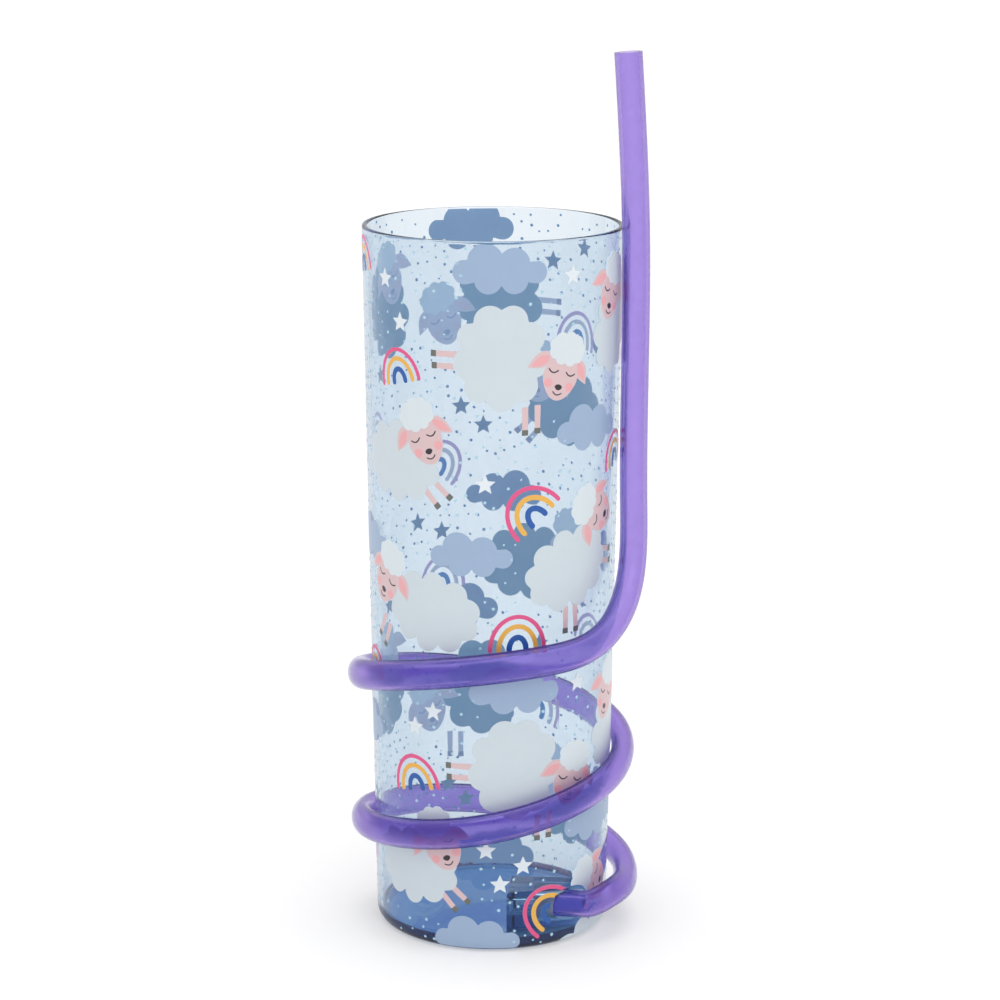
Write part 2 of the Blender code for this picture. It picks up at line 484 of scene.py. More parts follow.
@dataclass(frozen=True)
class StudioFloor:
    """Matt white sweep."""

    pale: Colour = (0.63, 0.63, 0.63)
    deep: Colour = (0.60, 0.60, 0.60)
    glow: float = 0.4

    def make(self) -> bpy.types.Material:
        """Makes it, with a trace of paper tooth.

        Returns:
            The material.
        """
        shader = Shader("studio_floor")
        tooth = shader.noise(220.0, 3.0)
        shader.set(
            Base_Color=shader.blend(tooth, self.deep, self.pale),
            Roughness=0.9,
            Specular_IOR_Level=0.1,
            Emission_Color=WHITE,
            Emission_Strength=self.glow,
        )
        return shader.material


# Modelling helpers


class Pick(Enum):
    """What a selection is made of."""

    EDGES = "EDGE"
    FACES = "FACE"


def alone(obj: bpy.types.Object) -> None:
    """Selects one object only and makes it active.

    Args:
        obj: the object.
    """
    for other in bpy.context.selected_objects:
        other.select_set(False)
    obj.select_set(True)
    bpy.context.view_layer.objects.active = obj


@contextmanager
def editing(obj: bpy.types.Object) -> Iterator[None]:
    """Edit mode on one object, with everything in it selected.

    Args:
        obj: the mesh object.

    Yields:
        Nothing; the edits go inside the block.
    """
    alone(obj)
    bpy.ops.object.mode_set(mode="EDIT")
    bpy.ops.mesh.select_mode(type="VERT")
    bpy.ops.mesh.select_all(action="SELECT")
    yield
    bpy.ops.object.mode_set(mode="OBJECT")


def pick(obj: bpy.types.Object, kind: Pick, test: Callable[..., bool]) -> None:
    """Selects the elements that pass a test, in edit mode.

    Args:
        obj: the mesh object in edit mode.
        kind: edges or faces.
        test: takes an element and says whether it is selected.
    """
    bpy.ops.mesh.select_mode(type=kind.value)
    bpy.ops.mesh.select_all(action="DESELECT")
    mesh = bmesh.from_edit_mesh(obj.data)
    for element in mesh.edges if kind is Pick.EDGES else mesh.faces:
        if test(element):
            element.select_set(True)
    mesh.select_flush_mode()
    bmesh.update_edit_mesh(obj.data)


def on_ring(height: float, radius: float) -> Callable[..., bool]:
    """A test for edges of one ring round Z.

    Args:
        height: the ring's height.
        radius: its radius.

    Returns:
        The test.
    """

    def test(edge: bmesh.types.BMEdge) -> bool:
        """Whether both ends are on the ring."""
        return all(
            abs(v.co.z - height) < NEAR and abs(math.hypot(v.co.x, v.co.y) - radius) < 2 * NEAR
            for v in edge.verts
        )

    return test


def bisect(height: float) -> None:
    """Adds a loop of edges at a height to everything in edit mode."""
    bpy.ops.mesh.select_all(action="SELECT")
    bpy.ops.mesh.bisect(plane_co=(0.0, 0.0, height), plane_no=(0.0, 0.0, 1.0))


def widen(share: float) -> None:
    """Scales what is selected away from the axis."""
    bpy.ops.transform.resize(value=(share, share, 1.0))


def raise_copy(height: float) -> None:
    """Extrudes what is selected along Z."""
    bpy.ops.mesh.extrude_region_move(TRANSFORM_OT_translate={"value": (0.0, 0.0, height)})


def apply(obj: bpy.types.Object, kind: str, **settings: object) -> None:
    """Adds a modifier and applies it.

    Args:
        obj: the object.
        kind: the modifier's type.
        settings: its properties.
    """
    alone(obj)
    modifier = obj.modifiers.new(kind.title(), kind)
    for key, value in settings.items():
        setattr(modifier, key, value)
    bpy.ops.object.modifier_apply(modifier=modifier.name)


def cut(obj: bpy.types.Object, tool: bpy.types.Object, operation: str = "DIFFERENCE") -> None:
    """Joins, cuts or trims an object by another, which is then removed.

    Args:
        obj: the object that stays.
        tool: the object that is used up.
        operation: the boolean's operation.
    """
    apply(obj, "BOOLEAN", operation=operation, solver="EXACT", object=tool)
    bpy.data.objects.remove(tool, do_unlink=True)


def settle(obj: bpy.types.Object) -> None:
    """Puts an object's place into its mesh."""
    alone(obj)
    bpy.ops.object.transform_apply(location=True, rotation=True, scale=True)


def finish_piece(
    obj: bpy.types.Object,
    name: str,
    materials: Sequence[bpy.types.Material],
    replaced: Optional[str] = None,
    angle: float = 35.0,
) -> bpy.types.Object:
    """Names, shades and dresses a piece, and ties it to the frame.

    Args:
        obj: the piece.
        name: its name.
        materials: its materials, in slot order, or none if it has them.
        replaced: the CAD node that it stands for.
        angle: edges sharper than this stay sharp.

    Returns:
        The piece.
    """
    obj.name = name
    obj.data.name = name
    for material in materials:
        obj.data.materials.append(material)
    alone(obj)
    bpy.ops.object.shade_smooth_by_angle(angle=math.radians(angle))
    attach(obj, BODY)
    if replaced:
        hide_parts(replaced)
    log.info("%s: %d faces", name, len(obj.data.polygons))
    return obj


# The cup's shared sizes


@dataclass(frozen=True)
class CupSizes:
    """Sizes that the cup, its film, its print and its port share."""

    height: float = 182.7 * MM
    rim_radius: float = 32.5 * MM
    base_radius: float = 29.55 * MM
    wall: float = 1.3 * MM
    floor: float = 3.0 * MM
    foot_rounding: float = 3.0 * MM
    inner_rounding: float = 0.8 * MM
    lip_rounding: float = 0.6 * MM
    print_offset: float = 0.44 * MM
    film_top: float = 182.0 * MM
    film_foot: float = 0.75 * MM
    port_angle: float = -46.5
    port_height: float = 10.4 * MM
    port_heading: float = -4.0
    port_depth: float = 10.0 * MM
    film_offset: float = 0.5 * MM
    sides: int = 192

    def inner_radius(self, height: float) -> float:
        """Radius of the cup's inside at a height."""
        return self.face_radius(height) - self.wall

    def cad_radius(self, height: float) -> float:
        """Radius of the CAD wall at a height."""
        taper = (self.rim_radius - self.base_radius) / self.height
        return self.base_radius + taper * height

    def face_radius(self, height: float) -> float:
        """Radius of the printed face of the wall at a height."""
        return self.cad_radius(height) + self.print_offset

    def on_face(self, along: np.ndarray, proud: np.ndarray) -> tuple[np.ndarray, np.ndarray]:
        """Where a place on the printed face is.

        Args:
            along: way up the face from the underside's level, round the foot below its rounding.
            proud: how far out of the face.

        Returns:
            Radius and height.
        """
        centre = self.face_radius(self.foot_rounding) - self.foot_rounding
        turn = np.clip((self.foot_rounding - along) / self.foot_rounding, 0.0, None)
        reach = self.foot_rounding + proud
        straight = along >= self.foot_rounding
        radius = np.where(
            straight, self.face_radius(along) + proud, centre + reach * np.cos(turn)
        )
        height = np.where(straight, along, self.foot_rounding - reach * np.sin(turn))
        return radius, height

    def port_frame(self) -> Matrix:
        """The port's own frame.

        Returns:
            A matrix whose Z runs out along the port's bore, from the film's face.
        """
        angle = math.radians(self.port_angle)
        heading = math.radians(self.port_heading)
        reach = self.cad_radius(self.port_height) + self.film_offset
        place = (reach * math.cos(angle), reach * math.sin(angle), self.port_height)
        outward = (math.cos(heading), math.sin(heading), 0.0)
        side = (-math.sin(heading), math.cos(heading), 0.0)
        turned = Matrix((side, (0.0, 0.0, 1.0), outward)).transposed().to_4x4()
        return Matrix.Translation(place) @ turned

    def along_port(self, radius: float, start: float, end: float) -> bpy.types.Object:
        """A round bar along the port's bore.

        Args:
            radius: its radius.
            start: where it starts, measured outwards.
            end: where it ends.

        Returns:
            The bar.
        """
        bpy.ops.mesh.primitive_cylinder_add(vertices=64, radius=radius, depth=end - start)
        bar = bpy.context.object
        middle = Matrix.Translation((0.0, 0.0, (start + end) / 2.0))
        bar.data.transform(self.port_frame() @ middle)
        return bar


SIZES = CupSizes()


# Tumbler


@dataclass
class Tumbler:
    """The moulded cup with its thick floor and the boss that takes the straw."""

    sizes: CupSizes = SIZES
    support: float = 0.35 * MM
    socket_radius: float = 4.3 * MM
    socket_depth: float = 10.3 * MM
    passage_radius: float = 2.5 * MM
    boss_side: float = 5.5 * MM
    boss_length: float = 16.5 * MM
    boss_rounding: float = 1.0 * MM
    past: float = 4.0 * MM

    def shell(self) -> bpy.types.Object:
        """The turned cup, from a solid bar that is tapered, hollowed and rounded.

        Returns:
            The cup without its boss.
        """
        s = self.sizes
        outer_low, outer_top = s.face_radius(0.0), s.face_radius(s.height)
        inner_top, inner_low = s.inner_radius(s.height), s.inner_radius(s.floor)
        bpy.ops.mesh.primitive_cylinder_add(
            vertices=s.sides, radius=outer_low, depth=s.height, location=(0, 0, s.height / 2)
        )
        cup = bpy.context.object
        settle(cup)
        with editing(cup):
            pick(cup, Pick.FACES, lambda face: face.normal.z > 0.9)
            widen(outer_top / outer_low)
            bpy.ops.mesh.extrude_region_move()
            widen(inner_top / outer_top)
            raise_copy(s.floor - s.height)
            widen(inner_low / inner_top)
            rounded = (
                (0.0, outer_low, s.foot_rounding, 10),
                (s.floor, inner_low, s.inner_rounding, 8),
                (s.height, outer_top, s.lip_rounding, 6),
                (s.height, inner_top, s.lip_rounding, 6),
            )
            for height, radius, width, steps in rounded:
                pick(cup, Pick.EDGES, on_ring(height, radius))
                bpy.ops.mesh.bevel(offset=width, segments=steps, affect="EDGES", profile=0.5)
            for height in (
                s.foot_rounding + self.support,
                s.floor + s.inner_rounding + self.support,
                s.height - s.lip_rounding - self.support,
            ):
                bisect(height)
            for facing, level in ((1.0, s.floor), (-1.0, 0.0)):
                pick(
                    cup,
                    Pick.FACES,
                    lambda face: face.normal.z * facing > 0.99
                    and abs(face.calc_center_median().z - level) < NEAR
                    and len(face.verts) > 8,
                )
                bpy.ops.mesh.inset(thickness=self.support)
        return cup

    def boss(self) -> bpy.types.Object:
        """The block round the bore, trimmed to the middle of the wall and floor.

        Returns:
            The block.
        """
        s = self.sizes
        reach = s.rim_radius + self.past
        side, length = self.boss_side, self.boss_length
        bpy.ops.mesh.primitive_cube_add(size=1.0)
        block = bpy.context.object
        low = -s.port_height
        block.scale = (side + reach, side - low, length + reach)
        block.location = ((side - reach) / 2.0, (side + low) / 2.0, (reach - length) / 2.0)
        settle(block)
        block.data.transform(s.port_frame())
        with editing(block):
            bpy.ops.mesh.bevel(offset=self.boss_rounding, segments=4, affect="EDGES")
        top = s.height / 2.0
        low_radius = s.face_radius(s.floor / 2.0) - s.wall / 2.0
        top_radius = s.face_radius(top) - s.wall / 2.0
        bpy.ops.mesh.primitive_cone_add(
            vertices=s.sides,
            radius1=low_radius,
            radius2=top_radius,
            depth=top - s.floor / 2.0,
            location=(0.0, 0.0, (top + s.floor / 2.0) / 2.0),
        )
        plug = bpy.context.object
        settle(plug)
        cut(block, plug, "INTERSECT")
        return block

    def build(self) -> bpy.types.Object:
        """The whole cup, dressed.

        Returns:
            The cup.
        """
        cup = self.shell()
        cut(cup, self.boss(), "UNION")
        s = self.sizes
        outside = 2.0 * self.socket_radius + self.past
        cut(cup, s.along_port(self.socket_radius, -self.socket_depth, outside))
        cut(
            cup,
            s.along_port(
                self.passage_radius, -self.boss_length - self.past, self.past - self.socket_depth
            ),
        )
        return finish_piece(cup, "tumbler_cup", [ClearPlastic().make()], "tumbler")


# Printed film


@dataclass
class FilmSheet:
    """The thin clear film that carries the print, with its hole for the port."""

    sizes: CupSizes = SIZES
    gap: float = 0.010 * MM
    thickness: float = 0.035 * MM
    port_radius: float = 4.8 * MM
    foot_steps: int = 4
    support: float = 0.3 * MM

    def build(self) -> bpy.types.Object:
        """The film, dressed.

        Returns:
            The film.
        """
        s = self.sizes
        low, top = s.foot_rounding, s.film_top
        radius = s.face_radius(low) + self.gap
        bpy.ops.mesh.primitive_cylinder_add(
            vertices=s.sides,
            radius=radius,
            depth=top - low,
            location=(0.0, 0.0, (top + low) / 2.0),
            end_fill_type="NOTHING",
        )
        film = bpy.context.object
        settle(film)
        with editing(film):
            pick(film, Pick.EDGES, on_ring(top, radius))
            widen((s.face_radius(top) + self.gap) / radius)
            height = low
            for step in range(1, self.foot_steps + 1):
                along = low + (s.film_foot - low) * step / self.foot_steps
                place = s.on_face(np.array([along]), np.array([self.gap]))
                new_radius, new_height = float(place[0][0]), float(place[1][0])
                pick(film, Pick.EDGES, on_ring(height, radius))
                raise_copy(new_height - height)
                widen(new_radius / radius)
                radius, height = new_radius, new_height
            bisect(s.foot_rounding + self.support)
        apply(film, "SOLIDIFY", thickness=self.thickness, offset=1.0, use_even_offset=True)
        reach = 3.0 * self.port_radius
        cut(film, s.along_port(self.port_radius, -reach, reach))
        return finish_piece(film, "film_sheet", [FilmPlastic().make()], "print_film")


# Print


class Ink(Enum):
    """The print's inks: name, colour from outside, colour from inside the cup, which is painted
    shade: the back of the print darkened and blued as in shadow behind the tinted walls.
    """

    FLEECE = ("fleece", (205, 216, 223), (130, 158, 179))
    CAP = ("curl", (216, 226, 231), (182, 198, 212))
    SKIN = ("skin", (219, 190, 192), (178, 186, 204))
    EAR = ("ear", (234, 170, 174), (180, 182, 200))
    LINE = ("line", (44, 34, 42), (140, 158, 186))
    HOOF = ("hoof", (106, 108, 104), (140, 152, 176))
    CLOUD = ("cloud", (155, 177, 206), (132, 156, 183))
    STAR = ("star", (226, 234, 240), (120, 146, 172))
    PINK = ("pink", (226, 84, 136), (186, 170, 204))
    YELLOW = ("yellow", (234, 178, 78), (188, 192, 206))
    BLUE = ("blue", (28, 88, 166), (104, 142, 190))
    DOT = ("dots", (176, 212, 228), (116, 150, 184))


@dataclass(frozen=True)
class Slab:
    """One flat shape of ink in a motif.

    ink is its ink, outline its corners in millimetres, and level its place in the stack.
    """

    ink: Ink
    outline: tuple[Point, ...]
    level: int


@dataclass(frozen=True)
class Placed:
    """Where a motif goes: angle on the wall in degrees, height in millimetres, tilt in degrees,
    size as a share, and hand."""

    angle: float
    height: float
    tilt: float = 0.0
    size: float = 1.0
    flip: bool = False


def lobed(circles: Sequence[tuple[float, float, float]], count: int = 132) -> tuple[Point, ...]:
    """The outline of overlapping circles, seen from the middle.

    Args:
        circles: x, y and radius of each.
        count: corners of the outline.

    Returns:
        The outline.
    """
    outline = []
    for step in range(count):
        turn = math.tau * step / count
        dx, dy = math.cos(turn), math.sin(turn)
        reach = 0.0
        for x, y, radius in circles:
            ahead = dx * x + dy * y
            inside = radius**2 - (x * x + y * y) + ahead**2
            if inside >= 0.0:
                reach = max(reach, ahead + math.sqrt(inside))
        outline.append((reach * dx, reach * dy))
    return tuple(outline)


def woolly(
    half_width: float, half_height: float, lobes: int, bulge: float, turn: float = 0.0
) -> tuple[Point, ...]:
    """An oval outline with even lobes, as drawn for wool.

    Args:
        half_width: half width to the lobes' outside.
        half_height: half height to the lobes' outside.
        lobes: how many.
        bulge: each lobe's radius.
        turn: angle of the first lobe in degrees.

    Returns:
        The outline.
    """
    circles = []
    for index in range(lobes):
        angle = math.radians(turn) + math.tau * index / lobes
        radius = bulge * (1.0 + 0.10 * math.sin(index * 2.4))
        circles.append(
            (
                (half_width - radius) * math.cos(angle),
                (half_height - radius) * math.sin(angle),
                radius,
            )
        )
    return lobed(circles)


def oval(
    x: float, y: float, half_width: float, half_height: float, chin: float = 0.0, count: int = 40
) -> tuple[Point, ...]:
    """An oval outline that may narrow towards its foot.

    Args:
        x: middle.
        y: middle.
        half_width: half its width.
        half_height: half its height.
        chin: share of the width that its foot loses.
        count: corners.

    Returns:
        The outline.
    """
    outline = []
    for step in range(count):
        angle = math.tau * step / count
        up = math.sin(angle)
        narrow = 1.0 - chin * max(-up, 0.0)
        outline.append((x + half_width * narrow * math.cos(angle), y + half_height * up))
    return tuple(outline)


def stroke(line: Sequence[Point], width: float, cap: int = 5) -> tuple[Point, ...]:
    """The outline of a line drawn with a round brush.

    Args:
        line: the line's points.
        width: the brush's width.
        cap: steps round each end.

    Returns:
        The outline.
    """
    places = np.array(line)
    ways = np.gradient(places, axis=0)
    ways /= np.linalg.norm(ways, axis=1)[:, None]
    sides = np.column_stack([-ways[:, 1], ways[:, 0]]) * width / 2.0

    def round_end(centre: np.ndarray, side: np.ndarray) -> list[Point]:
        """The points round one end of the line.

        Args:
            centre: the line's end.
            side: way from it to the outline, where the points start.

        Returns:
            The points.
        """
        start = math.atan2(side[1], side[0])
        angles = [start + math.pi * step / cap for step in range(1, cap)]
        return [tuple(centre + np.array([math.cos(a), math.sin(a)]) * width / 2) for a in angles]

    outline = [tuple(p) for p in places - sides] + round_end(places[-1], -sides[-1])
    outline += [tuple(p) for p in (places + sides)[::-1]]
    return tuple(outline + round_end(places[0], sides[0]))


FEET = -3.4


def arch(half_width: float, height: float, width: float, count: int = 40) -> tuple[Point, ...]:
    """The outline of one arched band on its two feet, which stand at FEET.

    Args:
        half_width: from the middle to the band's centre at the feet.
        height: height of the band's centre at the top.
        width: the band's width.
        count: steps along it.

    Returns:
        The outline.
    """
    line = [
        (half_width * math.cos(t), height * math.sin(t) + FEET)
        for t in np.linspace(math.pi, 0.0, count)
    ]
    return stroke(line, width)


def curve(x: float, y: float, half_width: float, sag: float, count: int = 9) -> list[Point]:
    """A short bow, for an eye or a smile.

    Args:
        x: its middle.
        y: height of its ends.
        half_width: half its width.
        sag: how far its middle hangs below its ends.
        count: points.

    Returns:
        The line.
    """
    return [
        (x + half_width * t, y - sag * (1.0 - t * t)) for t in np.linspace(-1.0, 1.0, count)
    ]


def moved(outline: Sequence[Point], x: float, y: float, turn: float = 0.0) -> tuple[Point, ...]:
    """An outline turned and then moved.

    Args:
        outline: the outline.
        x: move along x.
        y: move along y.
        turn: turn in degrees.

    Returns:
        The new outline.
    """
    c, s = math.cos(math.radians(turn)), math.sin(math.radians(turn))
    return tuple((x + px * c - py * s, y + px * s + py * c) for px, py in outline)


def star_outline(reach: float, share: float = 0.46) -> tuple[Point, ...]:
    """A five-pointed star.

    Args:
        reach: from the middle to a tip.
        share: the inner corners' share of that.

    Returns:
        The outline.
    """
    corners = []
    for index in range(10):
        radius = reach if index % 2 == 0 else reach * share
        angle = math.radians(90.0 + 36.0 * index)
        corners.append((radius * math.cos(angle), radius * math.sin(angle)))
    return tuple(corners)


def ear_outline(length: float, width: float, count: int = 12) -> tuple[Point, ...]:
    """A leaf-shaped ear that points along +x from its root.

    Args:
        length: from root to tip.
        width: across the middle.
        count: steps along each side.

    Returns:
        The outline.
    """
    steps = np.linspace(0.0, 1.0, count)
    side = [(length * t, width / 2.0 * math.sin(math.pi * t**0.8)) for t in steps]
    return tuple([(x, -y) for x, y in side[:-1]] + side[:0:-1])


class Motif(Enum):
    """The print's motifs."""

    BODY = "body"
    SMALL_BODY = "small_body"
    HEAD = "head"
    LEG = "leg"
    CLOUD = "cloud"
    RAINBOW = "rainbow"
    STAR = "star"
    DOT = "dot"


HEAD_SLABS = (
    Slab(Ink.SKIN, moved(ear_outline(7.6, 3.9), -3.6, 6.0, 220.0), 3),
    Slab(Ink.EAR, moved(ear_outline(5.6, 2.3), -4.4, 5.1, 220.0), 4),
    Slab(Ink.SKIN, moved(ear_outline(7.4, 3.8), 3.4, 5.9, -50.0), 3),
    Slab(Ink.EAR, moved(ear_outline(5.4, 2.2), 4.1, 5.0, -50.0), 4),
    Slab(Ink.SKIN, oval(0.0, 0.6, 5.0, 5.8, 0.2), 5),
    *(Slab(Ink.EAR, oval(x, -1.3, 1.2, 1.1, count=20), 6) for x in (-3.1, 3.1)),
    *(Slab(Ink.LINE, stroke(curve(x, 2.1, 1.3, 0.7), 0.34), 7) for x in (-2.5, 2.5)),
    Slab(Ink.LINE, oval(0.0, -1.9, 1.05, 0.75, 0.3, 16), 7),
    Slab(Ink.LINE, stroke(curve(0.0, -3.2, 1.2, 0.6), 0.30), 7),
    Slab(Ink.CAP, moved(woolly(5.5, 4.3, 9, 1.7, 90.0), 0.2, 7.8), 8),
)
LEG_SLABS = (
    Slab(Ink.SKIN, ((-0.7, -2.6), (0.7, -2.6), (0.8, 3.2), (-0.8, 3.2)), 0),
    Slab(Ink.HOOF, ((-0.8, -3.9), (0.8, -3.9), (0.78, -2.5), (-0.78, -2.5)), 1),
)
CLOUD_LOBES = (
    (-8.6, -0.7, 3.0),
    (-3.5, 2.0, 4.4),
    (3.5, 1.4, 3.9),
    (9.0, -0.8, 2.8),
    (-2.8, -2.6, 3.4),
    (3.6, -2.6, 3.4),
    (0.0, 0.0, 4.0),
)
RAINBOW_SLABS = (
    Slab(Ink.PINK, arch(6.4, 8.0, 1.0), 1),
    Slab(Ink.YELLOW, arch(4.4, 5.7, 1.15), 1),
    Slab(Ink.BLUE, arch(2.0, 3.1, 1.3, 24), 1),
)
MOTIF_SLABS: Mapping[Motif, tuple[Slab, ...]] = {
    Motif.BODY: (Slab(Ink.FLEECE, woolly(12.0, 13.4, 9, 3.8, 70.0), 2),),
    Motif.SMALL_BODY: (Slab(Ink.FLEECE, woolly(13.4, 10.4, 10, 3.2, 90.0), 2),),
    Motif.HEAD: HEAD_SLABS,
    Motif.LEG: LEG_SLABS,
    Motif.CLOUD: (Slab(Ink.CLOUD, lobed(CLOUD_LOBES), 0),),
    Motif.RAINBOW: RAINBOW_SLABS,
    Motif.STAR: (Slab(Ink.STAR, star_outline(2.7), 1),),
    Motif.DOT: (Slab(Ink.DOT, oval(0.0, 0.0, 0.36, 0.33, count=8), 0),),
}

# How far round each motif the small dots keep clear, in millimetres.
CLEAR: Mapping[Motif, float] = {
    Motif.BODY: 14.5,
    Motif.SMALL_BODY: 14.5,
    Motif.HEAD: 9.0,
    Motif.LEG: 3.8,
    Motif.CLOUD: 9.5,
    Motif.RAINBOW: 6.5,
    Motif.STAR: 3.6,
}


@dataclass(frozen=True)
class Lamb:
    """A woolly lamb: where its head and legs are, its body, and its place on the wall.

    Offsets are in millimetres along the wall and up it, and turns in degrees.
    """

    head: Triple
    legs: tuple[Triple, ...] = ()
    body: Motif = Motif.SMALL_BODY
    turn: float = 0.0
    flip: bool = False
    angle: float = 0.0
    height: float = 0.0


LEAPING = Lamb(
    (15.2, -6.2, -16.0),
    ((-13.8, 0.6, -90.0), (-13.6, -2.4, -90.0), (6.0, -15.6, 0.0), (9.2, -15.2, 0.0)),
    Motif.BODY,
)
RUNNING = Lamb((9.4, 5.3, 25.0), ((13.2, -5.4, 48.0), (10.2, -7.6, 42.0)))
TURNED = Lamb(
    (-15.8, 4.6, -25.0), ((-17.4, -6.2, -30.0), (-15.0, -8.4, -24.0)), turn=-8.0, flip=True
)
CLIMBING = Lamb(
    (11.2, 12.4, 67.0),
    ((-1.6, -12.8, 0.0), (1.6, -12.8, 4.0), (13.6, -0.6, 80.0), (13.2, 2.6, 80.0)),
    turn=20.0,
)
PEEPING = Lamb((-4.0, 6.2, -20.0), ((-6.6, -6.4, -32.0), (-3.8, -7.8, -26.0)), turn=60.0)
LOW = Lamb((4.3, 18.4, 67.0), turn=20.0)

LAMBS = [
    replace(lamb, angle=angle, height=height)
    for lamb, angle, height in (
        (LEAPING, -86.2, 154.3),
        (RUNNING, -137.0, 126.6),
        (TURNED, -119.3, 89.2),
        (CLIMBING, -51.4, 99.9),
        (PEEPING, -20.6, 160.0),
        (LEAPING, -79.0, 49.1),
        (RUNNING, -131.0, 21.3),
        (LOW, -34.0, -4.5),
        (PEEPING, -14.0, 55.8),
        (LEAPING, 86.8, 157.9),
        (PEEPING, 154.0, 158.0),
        (RUNNING, 50.0, 131.0),
        (TURNED, 72.0, 88.0),
        (LEAPING, 95.5, 53.0),
        (RUNNING, 44.0, 22.0),
        (CLIMBING, 134.0, -1.0),
        (PEEPING, 163.0, 58.0),
    )
]

PLACES: Mapping[Motif, Sequence[Placed]] = {
    Motif.CLOUD: [Placed(*row) for row in (
        (-86.9, 175.9, 0.0, 1.0), (-40.8, 135.1, 0.0, 0.95), (-99.8, 104.6, 0.0, 0.9),
        (-79.3, 69.7, 0.0, 1.0), (-32.0, 32.0, 0.0, 0.95), (-97.4, 3.6, 0.0, 0.95),
        (-165.0, 104.0, 0.0, 0.9), (-176.0, 55.0, 0.0, 1.0), (100.7, 177.6, 0.0, 1.0),
        (84.1, 106.8, 0.0, 0.9), (108.5, 75.3, 0.0, 1.0), (20.0, 96.0, 0.0, 0.9),
        (10.0, 32.0, 0.0, 1.0), (15.0, 150.0, 0.0, 0.9), (88.0, 6.1, 0.0, 0.95),
    )],
    Motif.RAINBOW: [Placed(*row) for row in (
        (-136.0, 150.0, 13.0, 1.0), (-73.4, 116.2, 42.0, 1.12), (-78.2, 83.9, 0.0, 1.08),
        (-168.8, 175.6, 10.0, 1.0), (-163.0, 70.5, 10.0, 1.0), (-129.4, 45.6, 10.0, 1.05),
        (-63.8, 11.2, 50.0, 1.08), (-17.0, 127.0, 10.0, 1.0), (44.5, 151.6, 13.0, 1.0),
        (115.0, 116.0, 42.0, 1.0), (116.5, 85.0, 0.0, 1.0), (30.0, 72.3, 10.0, 1.0),
        (64.5, 49.6, 24.0, 1.1), (168.0, 128.0, 10.0, 1.0), (124.0, 12.0, 50.0, 1.0),
        (175.0, 20.0, 0.0, 1.0),
    )],
    Motif.STAR: [Placed(*row) for row in (
        (-93.1, 122.6), (-133.9, 161.5), (-143.5, 171.8), (-53.5, 173.7), (-85.9, 18.4),
        (-74.8, 23.1), (-92.6, 27.5), (-128.6, 58.5), (-118.3, 63.2), (-46.5, 69.7), (94.7, 124.7),
        (105.7, 130.0), (60.5, 169.1), (41.7, 173.3), (116.3, 96.6), (130.5, 99.8), (104.1, 21.5),
        (113.7, 26.3), (170.0, 90.0), (0.0, 75.0), (5.0, 120.0), (160.0, 142.0), (-170.0, 35.0),
        (65.0, 66.0), (155.0, 80.0),
    )],
}


